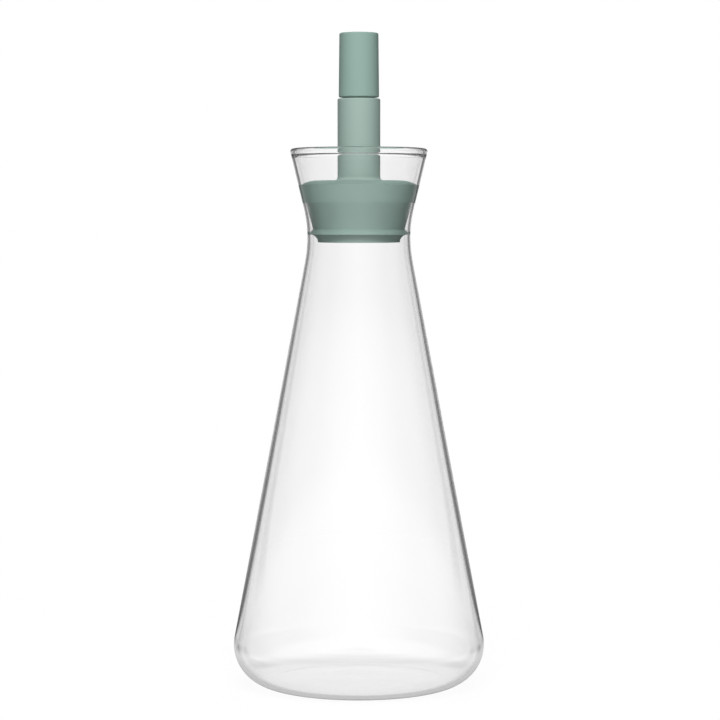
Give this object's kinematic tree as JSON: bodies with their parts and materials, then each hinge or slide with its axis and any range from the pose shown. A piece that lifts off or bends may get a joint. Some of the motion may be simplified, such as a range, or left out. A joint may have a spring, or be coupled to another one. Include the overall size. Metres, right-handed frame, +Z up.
{
  "type": "oil dispenser",
  "caption": "Conical clear glass flask with a flared mouth, a soft green pouring stopper with an upright stem, and a pull-off cap on the stem.",
  "frame": {"origin": "on the upright axis, on the plane that the flask stands on", "axes": "+Z up along the axis of the flask, stopper and cap; the solids are turned, so X and Y are alike"},
  "size_m": [0.083, 0.083, 0.2153],
  "materials": {
    "clear_glass": "clear, fire-polished, smooth",
    "green_silicone": "matte, soft",
    "green_satin_plastic": "satin",
    "green_matte_plastic": "matte",
    "grey_green_plastic": "plain moulded",
    "clear_silicone": "milky, matte",
    "white_plastic": "plain moulded"
  },
  "bodies": {
    "flask": {"glass_flask": "clear_glass"},
    "stopper": {"plug_skirt": "green_silicone", "plug_core": "grey_green_plastic", "pour_tube": "grey_green_plastic", "stem_sleeve": "green_satin_plastic", "shank_o_ring": "clear_silicone", "cap_o_ring": "clear_silicone", "metering_insert": "white_plastic", "breather_tube": "white_plastic"},
    "cap": {"cap_shell": "green_matte_plastic", "cap_seal": "clear_silicone"}
  },
  "joints": [
    {"name": "stopper_lift", "type": "slide", "parent": "flask", "child": "stopper", "axis": [0, 0, 1], "range_m": [0, 0.06]},
    {"name": "cap_lift", "type": "slide", "parent": "stopper", "child": "cap", "axis": [0, 0, 1], "range_m": [0, 0.03]}
  ]
}
